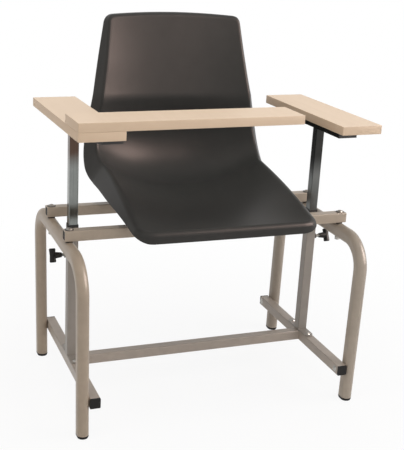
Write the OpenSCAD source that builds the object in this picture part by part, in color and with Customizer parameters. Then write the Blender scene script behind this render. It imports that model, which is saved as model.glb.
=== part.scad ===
// Blood-drawing chair: two bent-tube end frames, a low base of square bars, a moulded shell
// seat on two cross rails, and two arms on sliding square posts. The left arm carries a
// second board that swings across the front of the sitter.
// The origin is on the floor, at the middle of the chair's bounding box. X runs to the right
// as seen from the front, Y to the back and Z up. Left and right are as seen from the front.

/* [End frames] */
// Distance between the inner faces of the two end frames, at the side bars
frame_w = 674.6; // [620:0.2:800]
// Distance from the front legs' axis to the rear legs' axis
frame_d = 453; // [440:1:560]
// How far the legs' middle lies behind the middle of the base
leg_shift = 2.5; // [0:0.5:5]
// Height of the end frames' crown above the floor
frame_h = 440.5; // [400:0.5:500]
// Outward lean of the end frames, in degrees
frame_lean = 0.7; // [0:0.1:1.2]
// Width of the flat-sided oval leg tube, across the chair
leg_w = 28; // [25:0.2:30]
// Depth of the flat-sided oval leg tube, in the plane of the bend
leg_d = 38; // [36:0.5:46]
// Wall of the leg tube
leg_wall = 1.6; // [1.2:0.1:2.5]
// Bend radius of the leg tube, on its axis
bend_r = 72; // [60:1:110]

/* [Base] */
// Outside width of every square tube
tube_w = 25.4; // [25.2:0.1:28]
// Wall of the bars and rails
tube_wall = 1.5; // [1.2:0.1:2.0]
// Outside corner radius of the square tubes
tube_corner = 2.2; // [1.6:0.1:3]
// How far each low side bar runs past the legs' axes, without its cap
side_bar_over = 9; // [9:0.5:40]
// Height of the side bars' axis above the floor
side_bar_z = 89.6; // [70:0.2:130]
// Place of the low cross bar's axis, behind the middle of the base
cross_bar_y = -3.4; // [-30:0.2:20]

/* [Rails] */
// How far each rail runs past its bolts
rail_over = 13; // [12.5:0.5:30]
// Place of the front rail's axis, ahead of the middle of the base
rail_front = 95; // [80:1:110]
// Place of the rear rail's axis, behind the middle of the base
rail_rear = 94; // [80:1:110]
// Height of the gap that the saddle washers keep between frame and rail
saddle_t = 2.5; // [2:0.5:5]

/* [Arm boards] */
// Height of the top of the left arm board
arm_z = 723; // [700:1:760]
// How much lower the right arm board is set
arm_drop = 3.8; // [0:0.2:20]
// How far the left arm can be lowered from here
arm_down = 63; // [40:1:80]
// Width of an arm board
board_w = 108.6; // [100:0.2:130]
// Length of an arm board
board_len = 404; // [360:1:440]
// Thickness of the boards
board_t = 21; // [18:0.5:26]
// Reach of an arm board ahead of its post
board_ahead = 209.8; // [200:0.2:230]
// Distance from a post's axis to the inner edge of its board
board_inner = 58.9; // [55:0.1:64]
// Angle that each arm is turned about its post, anticlockwise seen from above
arm_turn = 2.2; // [0:0.1:4]
// Length of the swinging board
cross_len = 549; // [480:1:560]
// Width of the swinging board
cross_w = 105; // [90:1:120]

/* [Posts and sleeves] */
// Outside width of the square posts
post_w = 22.2; // [20:0.1:22.4]
// Wall of the posts
post_wall = 1.5; // [1.2:0.1:2.5]
// Place of the posts' axis, behind the middle of the base
post_y = 1.6; // [-10:0.2:20]
// Height of the plastic collar on top of a sleeve
collar_h = 7; // [4:0.5:12]
// Drop of the clamping knobs' axis below the end frames' top tube
clamp_below = 30.5; // [28:0.5:60]
// Bare stretch of the left clamping screw, between nut and knob
screw_out_left = 7; // [4:0.5:15]
// Bare stretch of the right clamping screw, between nut and knob
screw_out_right = 11; // [4:0.5:15]
// Turn of the left knob from upright, lower end forwards, in degrees
knob_turn_left = 19; // [0:1:90]
// Turn of the right knob from upright, lower end forwards, in degrees
knob_turn_right = 25; // [0:1:90]

/* [Arm brackets] */
// Width of the steel tray under an arm board
tray_w = 72; // [70:0.5:76]
// Width of the tray's narrow front end
tray_front_w = 49; // [40:0.5:60]
// Depth of the tray over its rim
tray_depth = 10.5; // [10:0.5:16]
// Sheet that the tray is pressed from
tray_t = 2.5; // [2:0.1:3]
// Reach of the tray ahead of the post
tray_ahead = 193; // [185:1:195]
// Reach of the tray behind the post
tray_behind = 95; // [60:1:150]

/* [Seat] */
// Wall of the moulded shell
shell_wall = 4.5; // [3.5:0.5:6]
// Distance of the seat's front fold ahead of the middle of the base
seat_front = 214; // [190:1:225]
// Height of the seat's front fold above the rails
seat_rise = 23.5; // [20:0.5:40]
// Half width of the shell between its rolled rims
seat_half = 219.5; // [190:0.5:224]
// Greatest depth of the dish below the shell's sides
dish_depth = 64; // [40:1:80]
// Length of the flat run from the front fold to the hip bend
pan_run = 333; // [300:1:350]
// Rise of the pan towards the back, in degrees
pan_pitch = 1; // [0:0.5:3]
// Radius of the bend between pan and back
hip_r = 115; // [90:1:130]
// Length of the lower back, which leans forwards
low_back_run = 74.6; // [40:0.2:90]
// Lean of the lower back from the floor, in degrees
low_back_angle = 103; // [95:0.5:105]
// Radius of the soft crease in the back
crease_r = 30; // [20:1:120]
// Length of the upper back
high_back_run = 193; // [150:1:230]
// Lean of the upper back from the floor, in degrees
high_back_angle = 81.4; // [78:0.2:86]
// Arch of the back's top edge between its corners
top_crown = 7.6; // [0:0.2:15]
// Radius of the rolled rim at the front and the top
rim_r = 12; // [10:0.5:16]
// Radius of the rolled rim along the sides, from the hips up
side_rim_r = 7; // [6.5:0.5:10]
// Depth of the turned-down edge beyond the roll, at the hips
edge_depth = 49.4; // [30:0.2:52]

/* [Hidden] */
$fn = 48;

// Running and fitting gaps
slide_gap = 0.1;
turn_gap = 0.08;
hole_gap = 0.2;
thread_gap = 0.1;
plug_gap = 0.1;
touch_gap = 0.05;
seat_gap = 0.3;
overrun = 1;

// Plastic foot of a leg: what shows, its smaller tread, and the plug inside the tube
glide_h = 7;
glide_tread_h = 3;
glide_inset = 1.2;
glide_plug = 22;

// Plastic caps and plugs of the square tubes
cap_h = 3.5;
plug_len = 18;
plug_step = 1;
rail_plug_sink = 1.2;

// Bolts through rails, bars and sleeves: shank, head and nut
rail_bolt_r = 4;
rail_head_r = 8;
rail_head_h = 4.2;
rail_washer_r = 10.5;
rail_washer_t = 1.2;
rail_nut_af = 13;
rail_nut_h = 7;
saddle_r = 9;
saddle_skirt = 2.2;
base_bolt_r = 3;
base_head_r = 6.5;
base_head_h = 3.2;
base_nut_af = 10;
base_nut_h = 5;
bolt_end = 1.5;

// Foot plate of a sleeve and its two bolts
foot_half = 59;
foot_t = 3;
foot_bolt_y = 46;

// Clamping screw with its tee-shaped knob
stud_r = 4;
clamp_nut_af = 14;
clamp_nut_h = 6.5;
hub_len = 15;
hub_r_small = 6;
hub_r_large = 8.5;
tee_len = 34.5;
tee_r_end = 8;
tee_r_mid = 7;
tee_round = 2.5;

// Arm tray screws, in the board's underside
tray_edge = 1;
tray_screw_r = 2.2;
tray_screw_len = 16;
tray_head_r = 4.5;
tray_head_h = 2.8;
tray_screw_in = 14;
tray_slant = 45;
pivot_r = 4;
pivot_head_af = 13;
pivot_head_h = 5.3;
pivot_washer_r = 8.5;
pivot_washer_t = 1.4;
insert_r = 6.5;
insert_len = 13;
insert_skin = 5;
board_gap = 0.3;

// Screws that hold the seat, from under the rails
seat_screw_x = 88;
seat_screw_r = 3;
seat_head_r = 6;
seat_head_h = 3.5;
seat_insert_r = 4.5;
seat_insert_len = 12;
spacer_r = 13;
probe = 1;

// Shape of the shell from front to top: shares of seat_half, dish_depth, edge_depth and
// side_rim_r
half_shares = [0.971, 0.959, 0.961, 0.961, 0.996, 0.992, 0.922, 0.85, 0.796];
dish_shares = [0.01, 0.4, 0.71, 0.94, 1, 0.82, 0.43, 0.31, 0.18];
edge_shares = [0.055, 0.384, 0.73, 0.956, 1, 0.76, 0.68, 0.61, 0.35];
rim_shares = [2.9, 2.5, 1.8, 1.25, 1, 1, 1, 1, 1];
front_edge_share = 0.31;
back_edge_share = 0.24;
dish_power = 2.6;
front_corner = 24;
back_corner = 10;
side_roll = 69;
front_roll = 100;
back_roll = 85;
rim_tilt_share = 0.3;
row_crowding = 0.7;
crown_power = 12;
shell_rows = 56;
shell_cols = 22;
roll_steps = 5;
edge_steps = 2;

// Places worked out from the sizes above
inner_x = frame_w / 2;
leg_places = [leg_shift - frame_d / 2, leg_shift + frame_d / 2];
top_axis_z = frame_h - leg_d / 2;
side_bar_len = frame_d + 2 * (side_bar_over + leg_shift);
bar_x = inner_x - tube_w / 2;
bar_top = side_bar_z + tube_w / 2;
bar_under = side_bar_z - tube_w / 2;
crown_x = inner_x + leg_w / 2 * cos(frame_lean) + (top_axis_z - bar_under) * sin(frame_lean);
crown_under = leaned_z(frame_h - leg_d + leg_w / 2) - leg_w / 2;
rail_under = frame_h + saddle_t;
rail_top = rail_under + tube_w;
rail_half = crown_x + rail_over;
inner_corner = max(tube_corner - tube_wall, tube_corner / 4);
sleeve_inner_w = post_w + 2 * slide_gap;
post_corner = (tube_corner + inner_corner) / 2;
sleeve_floor = bar_top + foot_t;
clamp_z = frame_h - leg_d - clamp_below;
board_under = arm_z - board_t;
post_top = board_under - tray_t;
post_end = sleeve_floor + seat_gap + arm_down;
pivot_x = board_w / 2 - board_inner;
pivot_y = cross_w / 2 - board_ahead;
tray_x = tray_edge - board_inner;
stud_tip = post_w / 2 - tube_w / 2 + seat_gap;

// Square section with round corners
module rounded_square(w, r) {
  square([w, w - 2 * r], center = true);
  square([w - 2 * r, w], center = true);
  for (x = [-1, 1], y = [-1, 1])
    translate([x * (w / 2 - r), y * (w / 2 - r)])
      circle(r);
}

// Upright square tube from z = 0
module square_tube(w, wall, corner, bore_corner, length) {
  linear_extrude(length)
    difference() {
      rounded_square(w, corner);
      rounded_square(w - 2 * wall, bore_corner);
    }
}

// Flat-sided oval, long along Y
module oval(w, d) {
  square([w, d - w], center = true);
  for (s = [-1, 1])
    translate([0, s * (d - w) / 2])
      circle(d = w);
}

// Button head that rises from z = 0, with its shank below
module dome_bolt(shank_r, head_r, head_h, length) {
  ball_r = (head_r * head_r + head_h * head_h) / (2 * head_h);
  rotate_extrude() {
    intersection() {
      translate([0, head_h - ball_r])
        circle(ball_r);
      square([head_r, head_h]);
    }
    translate([0, -length])
      square([shank_r, length]);
  }
}

// Six-sided nut from z = 0 upwards
module hex_nut(across, bore_r, height) {
  difference() {
    cylinder(d = across / cos(30), h = height, $fn = 6);
    translate([0, 0, -overrun])
      cylinder(r = bore_r + thread_gap, h = height + 2 * overrun);
  }
}

// Flat ring from z = 0 upwards
module ring(outer_r, bore_r, height) {
  difference() {
    cylinder(r = outer_r, h = height);
    translate([0, 0, -overrun])
      cylinder(r = bore_r, h = height + 2 * overrun);
  }
}

// Straight hole through everything along Z
module through_hole(r, low, high) {
  translate([0, 0, low - overrun])
    cylinder(r = r, h = high - low + 2 * overrun);
}

// Turns what points up so that it points along X, away from the chair's middle on that side
module outward(side) {
  rotate([0, side * 90, 0])
    children();
}

// Moves a piece from the middle of the base to the chair's origin
module place() {
  translate([0, -middle_y, 0])
    children();
}

// Carries a piece drawn for the right arm to either post, mirrored on the left, then turned
module at_arm(side, turn) {
  translate([side * bar_x, post_y, 0])
    rotate([0, 0, turn])
      scale_side(side)
        children();
}

// Mirror image in X on the left side
module scale_side(side) {
  if (side < 0)
    mirror([1, 0, 0])
      children();
  else
    children();
}

// Leans a piece drawn on an end frame's middle plane, about the side bar's lower outer edge
module leaned(side) {
  translate([side * inner_x, leg_shift, bar_under])
    rotate([0, side * frame_lean, 0])
      translate([side * leg_w / 2, 0, -bar_under])
        children();
}

// Height to which the lean brings a point of that plane
function leaned_z(z) =
  bar_under + (z - bar_under) * cos(frame_lean) - leg_w / 2 * sin(frame_lean);

// Drop of an arm's pieces below the left arm's heights
function drop_of(side) = side > 0 ? arm_drop : 0;

// Solid path of the end frame's tube: two legs, two quarter bends and the top
module frame_path(w, d, leg_start) {
  straight = frame_d - 2 * bend_r;
  bend_z = top_axis_z - bend_r;
  for (s = [-1, 1]) {
    translate([0, s * frame_d / 2, leg_start])
      linear_extrude(bend_z - leg_start)
        oval(w, d);
    scale_front(s)
      translate([0, straight / 2, bend_z])
        rotate([90, 0, 90])
          rotate_extrude(angle = 90)
            translate([bend_r, 0])
              rotate(90)
                oval(w, d);
  }
  translate([0, straight / 2, top_axis_z])
    rotate([90, 0, 0])
      linear_extrude(straight)
        oval(w, d);
}

// Mirror image in Y towards the front
module scale_front(s) {
  if (s < 0)
    mirror([0, 1, 0])
      children();
  else
    children();
}

// One end frame with its bolt holes
module end_frame(side) {
  place()
    color([0.59, 0.54, 0.49])
      difference() {
        leaned(side)
          frame_path(leg_w, leg_d, glide_h);
        leaned(side)
          frame_path(leg_w - 2 * leg_wall, leg_d - 2 * leg_wall, glide_h - overrun);
        for (y = [-rail_front, rail_rear])
          translate([side * crown_x, y, 0])
            through_hole(rail_bolt_r + hole_gap, frame_h - leg_d, frame_h);
        for (y = leg_places)
          translate([side * inner_x, y, side_bar_z])
            outward(side)
              through_hole(rail_bolt_r + hole_gap, 0, leg_wall);
      }
}

module end_frame_left() {
  end_frame(-1);
}

module end_frame_right() {
  end_frame(1);
}

// Plastic feet, each with a plug in its leg, trodden flat on the floor
module leg_glides() {
  plug_w = leg_w - 2 * leg_wall - 2 * plug_gap;
  plug_d = leg_d - 2 * leg_wall - 2 * plug_gap;
  place()
    color([0.1, 0.1, 0.1])
      difference() {
        for (side = [-1, 1], s = [-1, 1])
          leaned(side)
            translate([0, s * frame_d / 2, 0]) {
              translate([0, 0, -glide_inset])
                linear_extrude(glide_tread_h + glide_inset)
                  oval(leg_w - 2 * glide_inset, leg_d - 2 * glide_inset);
              translate([0, 0, glide_tread_h])
                linear_extrude(glide_h - glide_tread_h)
                  oval(leg_w, leg_d);
              translate([0, 0, glide_h])
                linear_extrude(glide_plug - glide_h)
                  oval(plug_w, plug_d);
            }
        translate([-frame_w, -frame_d, -glide_h])
          cube([2 * frame_w, 2 * frame_d, glide_h]);
      }
}

// Low side bar with holes for the leg bolts and for the sleeve's foot
module side_bar(side) {
  place()
    color([0.59, 0.54, 0.49])
      difference() {
        translate([side * bar_x, side_bar_len / 2, side_bar_z])
          rotate([90, 0, 0])
            square_tube(tube_w, tube_wall, tube_corner, inner_corner, side_bar_len);
        for (y = leg_places)
          translate([side * bar_x, y, side_bar_z])
            outward(side)
              through_hole(rail_bolt_r + hole_gap, -tube_w / 2, tube_w / 2);
        for (s = [-1, 1])
          translate([side * bar_x, post_y + s * foot_bolt_y, side_bar_z])
            through_hole(base_bolt_r + hole_gap, -tube_w / 2, tube_w / 2);
      }
}

module side_bar_left() {
  side_bar(-1);
}

module side_bar_right() {
  side_bar(1);
}

// Square caps on both ends of both side bars
module side_bar_caps() {
  room = min(plug_len, side_bar_over - rail_bolt_r - plug_step);
  place()
    color([0.1, 0.1, 0.1])
      for (x = [-bar_x, bar_x], s = [-1, 1])
        translate([x, s * side_bar_len / 2, side_bar_z])
          rotate([-s * 90, 0, 0]) {
            linear_extrude(cap_h)
              rounded_square(tube_w, tube_corner);
            translate([0, 0, -room])
              linear_extrude(room)
                rounded_square(tube_w - 2 * tube_wall - 2 * plug_gap, inner_corner);
          }
}

// Cross bar, welded at both ends to the side bars' inner faces
module cross_bar() {
  span = 2 * (bar_x - tube_w / 2);
  place()
    color([0.59, 0.54, 0.49])
      translate([-span / 2, cross_bar_y, side_bar_z])
        rotate([0, 90, 0])
          square_tube(tube_w, tube_wall, tube_corner, inner_corner, span);
}

// Bolts from each side bar into the legs, with their nuts inside the leg tube
module side_bolts() {
  shank = tube_w + leg_wall + rail_nut_h + bolt_end;
  place()
    color([0.75, 0.75, 0.74])
      for (side = [-1, 1], y = leg_places)
        translate([side * (bar_x - tube_w / 2), y, side_bar_z])
          outward(-side)
            dome_bolt(rail_bolt_r, rail_head_r, rail_head_h, shank);
}

module side_nuts() {
  place()
    color([0.75, 0.75, 0.74])
      for (side = [-1, 1], y = leg_places)
        translate([side * (inner_x + leg_wall + seat_gap), y, side_bar_z])
          outward(side)
            hex_nut(rail_nut_af, rail_bolt_r, rail_nut_h);
}

// Rail across both end frames, with holes for the frame bolts and the seat screws
module rail(y) {
  place()
    color([0.59, 0.54, 0.49])
      difference() {
        translate([-rail_half, y, rail_under + tube_w / 2])
          rotate([0, 90, 0])
            square_tube(tube_w, tube_wall, tube_corner, inner_corner, 2 * rail_half);
        for (x = [-crown_x, crown_x])
          translate([x, y, 0])
            through_hole(rail_bolt_r + hole_gap, rail_under, rail_top);
        for (x = [-seat_screw_x, seat_screw_x])
          translate([x, y, 0])
            through_hole(seat_screw_r + hole_gap, rail_under, rail_top);
      }
}

module front_rail() {
  rail(-rail_front);
}

module rear_rail() {
  rail(rail_rear);
}

// Plugs sunk a little into the rails' ends
module rail_plugs() {
  plug_w = tube_w - 2 * tube_wall - 2 * plug_gap;
  room = min(plug_len, rail_over - rail_plug_sink - rail_bolt_r - plug_step);
  place()
    color([0.13, 0.12, 0.11])
      for (side = [-1, 1], y = [-rail_front, rail_rear])
        translate([side * (rail_half - rail_plug_sink), y, rail_under + tube_w / 2])
          outward(-side)
            linear_extrude(room)
              rounded_square(plug_w, inner_corner);
}

// Saddle washers that fit the round crown of the end frames
module saddle_washers() {
  place()
    color([0.1, 0.1, 0.1])
      for (side = [-1, 1])
        difference() {
          for (y = [-rail_front, rail_rear])
            translate([side * crown_x, y, frame_h - saddle_skirt])
              ring(saddle_r, rail_bolt_r + hole_gap, saddle_skirt + saddle_t);
          leaned(side)
            translate([0, frame_d / 2, frame_h - leg_w / 2])
              rotate([90, 0, 0])
                cylinder(r = leg_w / 2 + touch_gap, h = frame_d);
        }
}

module rail_washers() {
  place()
    color([0.3, 0.29, 0.28])
      for (x = [-crown_x, crown_x], y = [-rail_front, rail_rear])
        translate([x, y, rail_top])
          ring(rail_washer_r, rail_bolt_r + hole_gap, rail_washer_t);
}

// Bolts down through rail, saddle washer and top tube
module rail_bolts() {
  shank = rail_washer_t + rail_top - crown_under + rail_nut_h + bolt_end;
  place()
    color([0.8, 0.8, 0.79])
      for (x = [-crown_x, crown_x], y = [-rail_front, rail_rear])
        translate([x, y, rail_top + rail_washer_t])
          dome_bolt(rail_bolt_r, rail_head_r, rail_head_h, shank);
}

module rail_nuts() {
  place()
    color([0.75, 0.75, 0.74])
      for (x = [-crown_x, crown_x], y = [-rail_front, rail_rear])
        translate([x, y, crown_under - rail_nut_h])
          hex_nut(rail_nut_af, rail_bolt_r, rail_nut_h);
}

// Upright sleeve on its foot plate, with the hole for the clamping screw in its outer wall
module sleeve(side) {
  sleeve_wall = (tube_w - sleeve_inner_w) / 2;
  place()
    color([0.57, 0.54, 0.5])
      translate([side * bar_x, post_y, 0])
        difference() {
          union() {
            translate([0, 0, sleeve_floor])
              square_tube(tube_w, sleeve_wall, tube_corner, inner_corner,
                rail_under - sleeve_floor);
            translate([0, 0, bar_top])
              linear_extrude(foot_t)
                union() {
                  square([tube_w, 2 * foot_half - tube_w], center = true);
                  for (s = [-1, 1])
                    translate([0, s * (foot_half - tube_w / 2)])
                      circle(d = tube_w);
                }
          }
          for (s = [-1, 1])
            translate([0, s * foot_bolt_y, 0])
              through_hole(base_bolt_r + hole_gap, bar_top, sleeve_floor);
          translate([0, 0, clamp_z])
            outward(side)
              through_hole(stud_r + hole_gap, tube_w / 4, tube_w / 2);
        }
}

module sleeve_left() {
  sleeve(-1);
}

module sleeve_right() {
  sleeve(1);
}

// Bolts through each sleeve's foot and its side bar, with nuts below the bar
module sleeve_bolts() {
  shank = foot_t + tube_w + base_nut_h + bolt_end;
  place()
    color([0.8, 0.8, 0.79])
      for (x = [-bar_x, bar_x], s = [-1, 1])
        translate([x, post_y + s * foot_bolt_y, sleeve_floor])
          dome_bolt(base_bolt_r, base_head_r, base_head_h, shank);
}

module sleeve_nuts() {
  place()
    color([0.75, 0.75, 0.74])
      for (x = [-bar_x, bar_x], s = [-1, 1])
        translate([x, post_y + s * foot_bolt_y, bar_under - base_nut_h])
          hex_nut(base_nut_af, base_bolt_r, base_nut_h);
}

// Plastic guide collars on the sleeves' mouths
module sleeve_collars() {
  collar_wall = (tube_w - sleeve_inner_w) / 2;
  place()
    color([0.1, 0.1, 0.1])
      for (x = [-bar_x, bar_x])
        translate([x, post_y, rail_under])
          square_tube(tube_w, collar_wall, tube_corner, inner_corner, collar_h);
}

// Nuts welded to the sleeves' outer faces, for the clamping screws
module clamp_nuts() {
  place()
    color([0.4, 0.39, 0.37])
      for (side = [-1, 1])
        translate([side * inner_x, post_y, clamp_z])
          outward(side)
            difference() {
              cylinder(d = clamp_nut_af / cos(30), h = clamp_nut_h, $fn = 6);
              translate([0, 0, -overrun])
                cylinder(r = stud_r + turn_gap, h = clamp_nut_h + 2 * overrun);
            }
}

// Bare stretch of a clamping screw, and the turn of its knob
function screw_out(side) = side > 0 ? screw_out_right : screw_out_left;
function knob_turn(side) = side > 0 ? knob_turn_right : knob_turn_left;

// Threaded stud from near the post's face into the knob's hub
module clamp_screw(side) {
  place()
    color([0.6, 0.6, 0.59])
      translate([side * (inner_x + stud_tip), post_y, clamp_z])
        outward(side)
          cylinder(r = stud_r, h = clamp_nut_h + screw_out(side) + hub_len / 2 - stud_tip);
}

module clamp_screw_left() {
  clamp_screw(-1);
}

module clamp_screw_right() {
  clamp_screw(1);
}

// Tee-shaped knob: a cone hub and a turned bar across it
module knob(side) {
  round_x = tee_r_end - tee_round;
  place()
    color([0.08, 0.08, 0.08])
      translate([side * (inner_x + clamp_nut_h + screw_out(side)), post_y, clamp_z])
        difference() {
          union() {
            outward(side)
              cylinder(r1 = hub_r_small, r2 = hub_r_large, h = hub_len + tee_r_mid / 2);
            translate([side * (hub_len + tee_r_mid), 0, 0])
              rotate([-knob_turn(side), 0, 0])
                rotate_extrude()
                  for (s = [-1, 1])
                    scale_front(s) {
                      polygon([[0, 0], [tee_r_mid, 0], [tee_r_end, tee_len / 2 - tee_round],
                        [round_x, tee_len / 2 - tee_round], [round_x, tee_len / 2],
                        [0, tee_len / 2]]);
                      translate([round_x, tee_len / 2 - tee_round])
                        circle(tee_round);
                    }
          }
          outward(side)
            translate([0, 0, -overrun])
              cylinder(r = stud_r + touch_gap, h = hub_len / 2 + overrun + touch_gap);
        }
}

module knob_left() {
  knob(-1);
}

module knob_right() {
  knob(1);
}

// Square post, up to the underside of its tray's sheet
module post(side) {
  place()
    color([0.78, 0.79, 0.79])
      translate([side * bar_x, post_y, post_end - drop_of(side)])
        square_tube(post_w, post_wall, post_corner, post_corner / 2, post_top - post_end);
}

module post_left() {
  post(-1);
}

module post_right() {
  post(1);
}

// Corner moved inwards along both of its edges, for an anticlockwise outline
function unit(v) = v / norm(v);
function left_of(v) = [-v[1], v[0]];
function inset(points, d) = [
  for (i = [0 : len(points) - 1])
    let (n = len(points))
    let (here = points[i])
    let (a = left_of(unit(here - points[(i + n - 1) % n])))
    let (b = left_of(unit(points[(i + 1) % n] - here)))
    here + d * (a + b) / (1 + a * b)
];

// Outline of the tray for the right arm, with its front outer corner cut off
tray_outline = [
  [tray_x, -tray_ahead],
  [tray_x + tray_front_w, -tray_ahead],
  [tray_x + tray_w, tray_slant - tray_ahead],
  [tray_x + tray_w, tray_behind],
  [tray_x, tray_behind]
];

// Screw places inside the tray
tray_screw_places = [
  [tray_x + tray_screw_in, tray_screw_in - tray_ahead],
  [tray_x + tray_front_w - tray_screw_in, tray_screw_in - tray_ahead],
  [tray_x + tray_screw_in, tray_behind - tray_screw_in],
  [tray_x + tray_w - tray_screw_in, tray_behind - tray_screw_in]
];

// Pressed tray under a board, welded to the post
module arm_tray(side) {
  place()
    color([0.1, 0.1, 0.1])
      at_arm(side, arm_turn)
        translate([0, 0, board_under - drop_of(side)])
          difference() {
            translate([0, 0, -tray_depth])
              linear_extrude(tray_depth)
                polygon(tray_outline);
            translate([0, 0, -tray_depth - overrun])
              linear_extrude(tray_depth - tray_t + overrun)
                polygon(inset(tray_outline, tray_t));
            for (p = tray_screw_places)
              translate(p)
                through_hole(tray_screw_r + hole_gap, -tray_t, 0);
            if (side < 0)
              translate([pivot_x, pivot_y, 0])
                through_hole(pivot_r + turn_gap, -tray_t, 0);
          }
}

module arm_tray_left() {
  arm_tray(-1);
}

module arm_tray_right() {
  arm_tray(1);
}

// Pan-head wood screws up through a tray into its board
module tray_screws(side) {
  place()
    color([0.75, 0.75, 0.74])
      at_arm(side, arm_turn)
        for (p = tray_screw_places)
          translate([p[0], p[1], post_top - drop_of(side)])
            rotate([180, 0, 0])
              dome_bolt(tray_screw_r, tray_head_r, tray_head_h, tray_screw_len);
}

module tray_screws_left() {
  tray_screws(-1);
}

module tray_screws_right() {
  tray_screws(1);
}

// Laminated arm board with its pilot holes
module arm_board(side) {
  place()
    color([0.91, 0.82, 0.72])
      at_arm(side, arm_turn)
        translate([0, 0, board_under - drop_of(side)])
          difference() {
            translate([-board_inner, -board_ahead, 0])
              cube([board_w, board_len, board_t]);
            for (p = tray_screw_places)
              translate([p[0], p[1], -overrun])
                cylinder(r = tray_screw_r + touch_gap, h = tray_screw_len + overrun);
            if (side < 0)
              translate([pivot_x, pivot_y, 0])
                through_hole(pivot_r + turn_gap, 0, board_t);
          }
}

module arm_board_left() {
  arm_board(-1);
}

module arm_board_right() {
  arm_board(1);
}

// Swinging board, flush with the left arm board's front and outer edges
module cross_board() {
  place()
    color([0.91, 0.82, 0.72])
      at_arm(-1, arm_turn)
        translate([0, 0, arm_z + board_gap])
          difference() {
            translate([board_w - board_inner - cross_len, -board_ahead, 0])
              cube([cross_len, cross_w, board_t]);
            translate([pivot_x, pivot_y, -overrun])
              cylinder(r = insert_r + touch_gap, h = board_t - insert_skin + overrun);
          }
}

// Pivot bolt from below, through tray and arm board, into the swinging board's insert
module pivot_bolt() {
  shank = pivot_washer_t + tray_t + board_t + board_gap + insert_len - bolt_end;
  place()
    color([0.7, 0.7, 0.69])
      at_arm(-1, arm_turn)
        translate([pivot_x, pivot_y, post_top - seat_gap - pivot_washer_t - pivot_head_h]) {
          cylinder(d = pivot_head_af / cos(30), h = pivot_head_h, $fn = 6);
          cylinder(r = pivot_r, h = pivot_head_h + seat_gap + shank);
        }
}

module pivot_washer() {
  place()
    color([0.7, 0.7, 0.69])
      at_arm(-1, arm_turn)
        translate([pivot_x, pivot_y, post_top - seat_gap - pivot_washer_t])
          ring(pivot_washer_r, pivot_r + touch_gap, pivot_washer_t);
}

module pivot_insert() {
  place()
    color([0.75, 0.66, 0.42])
      at_arm(-1, arm_turn)
        translate([pivot_x, pivot_y, arm_z + board_gap])
          ring(insert_r, pivot_r + touch_gap, insert_len);
}

// Value at u, from 0 to 1, on a smooth curve through evenly spaced shares
function share_at(shares, u) =
  let (last = len(shares) - 1)
  let (x = max(0, min(1, u)) * last)
  let (i = min(floor(x), last - 1))
  let (f = x - i)
  let (b = shares[i])
  let (c = shares[i + 1])
  let (a = i > 0 ? shares[i - 1] : 2 * b - c)
  let (d = i + 2 <= last ? shares[i + 2] : 2 * c - b)
  b + f * ((c - a) / 2 + f * ((2 * a - 5 * b + 4 * c - d) / 2 + f * (3 * b - a - 3 * c + d) / 2));

// Stretches of the shell's middle line, front to top: length and turn per length in degrees
hip_turn = 180 / (PI * hip_r);
crease_turn = 180 / (PI * crease_r);
stretches = [
  [pan_run, 0],
  [(low_back_angle - pan_pitch) / hip_turn, hip_turn],
  [low_back_run, 0],
  [(low_back_angle - high_back_angle) / crease_turn, -crease_turn],
  [high_back_run, 0]
];
middle_len = stretches[0][0] + stretches[1][0] + stretches[2][0] + stretches[3][0]
  + stretches[4][0];

// Point and slope on the middle line, s along it: [y, z, angle]
function step_along(p, d, turn) =
  turn == 0
    ? [p[0] + d * cos(p[2]), p[1] + d * sin(p[2]), p[2]]
    : let (r = 180 / (PI * turn))
      let (after = p[2] + turn * d)
      [p[0] + r * (sin(after) - sin(p[2])), p[1] + r * (cos(p[2]) - cos(after)), after];
function middle_at(s, i = 0, p = [-seat_front, rail_top + seat_rise, pan_pitch]) =
  i == len(stretches) - 1 || s <= stretches[i][0]
    ? step_along(p, s, stretches[i][1])
    : middle_at(s - stretches[i][0], i + 1,
        step_along(p, stretches[i][0], stretches[i][1]));

// Half width without and with the round corners
function wide_at(s) = seat_half * share_at(half_shares, s / middle_len);
function corner_cut(r, run) =
  let (e = max(0, 1 - run / r))
  r * (1 - sqrt(max(0, 1 - e * e)));
function half_at(s) =
  wide_at(s) - corner_cut(front_corner, s) - corner_cut(back_corner, middle_len - s);

// Rise of the dished surface at x, along the middle line's normal
function dish_at(s, x) =
  dish_depth * share_at(dish_shares, s / middle_len) * pow(abs(x) / wide_at(s), dish_power);

// Normal of the middle line, on the sitter's side, and its direction towards the top
function normal_at(p) = [0, -sin(p[2]), cos(p[2])];
function along_at(p) = [0, cos(p[2]), sin(p[2])];

// Share of the top edge's arch that a point at x has, fading out down the back
function crown_at(s, x) =
  top_crown * pow(s / middle_len, crown_power) * (1 - pow(x / half_at(s), 2));

// Rows crowd towards the two ends, where the corners are
function row_s(i) =
  middle_len * (i / shell_rows - row_crowding * sin(360 * i / shell_rows) / (2 * PI));

// Upper surface of the shell as rows of points
shell_grid = [
  for (i = [0 : shell_rows])
    let (s = row_s(i))
    let (p = middle_at(s))
    [for (j = [0 : shell_cols])
      let (x = half_at(s) * (2 * j / shell_cols - 1))
      [x, p[0], p[1]] + dish_at(s, x) * normal_at(p) + crown_at(s, x) * along_at(p)]
];

// Edge of the grid as one loop of [row, column]
edge_loop = [
  for (j = [0 : shell_cols]) [0, j],
  for (i = [1 : shell_rows]) [i, shell_cols],
  for (j = [shell_cols - 1 : -1 : 0]) [shell_rows, j],
  for (i = [shell_rows - 1 : -1 : 1]) [i, 0]
];
loop_n = len(edge_loop);
function grid_point(k) = shell_grid[edge_loop[k][0]][edge_loop[k][1]];

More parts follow.
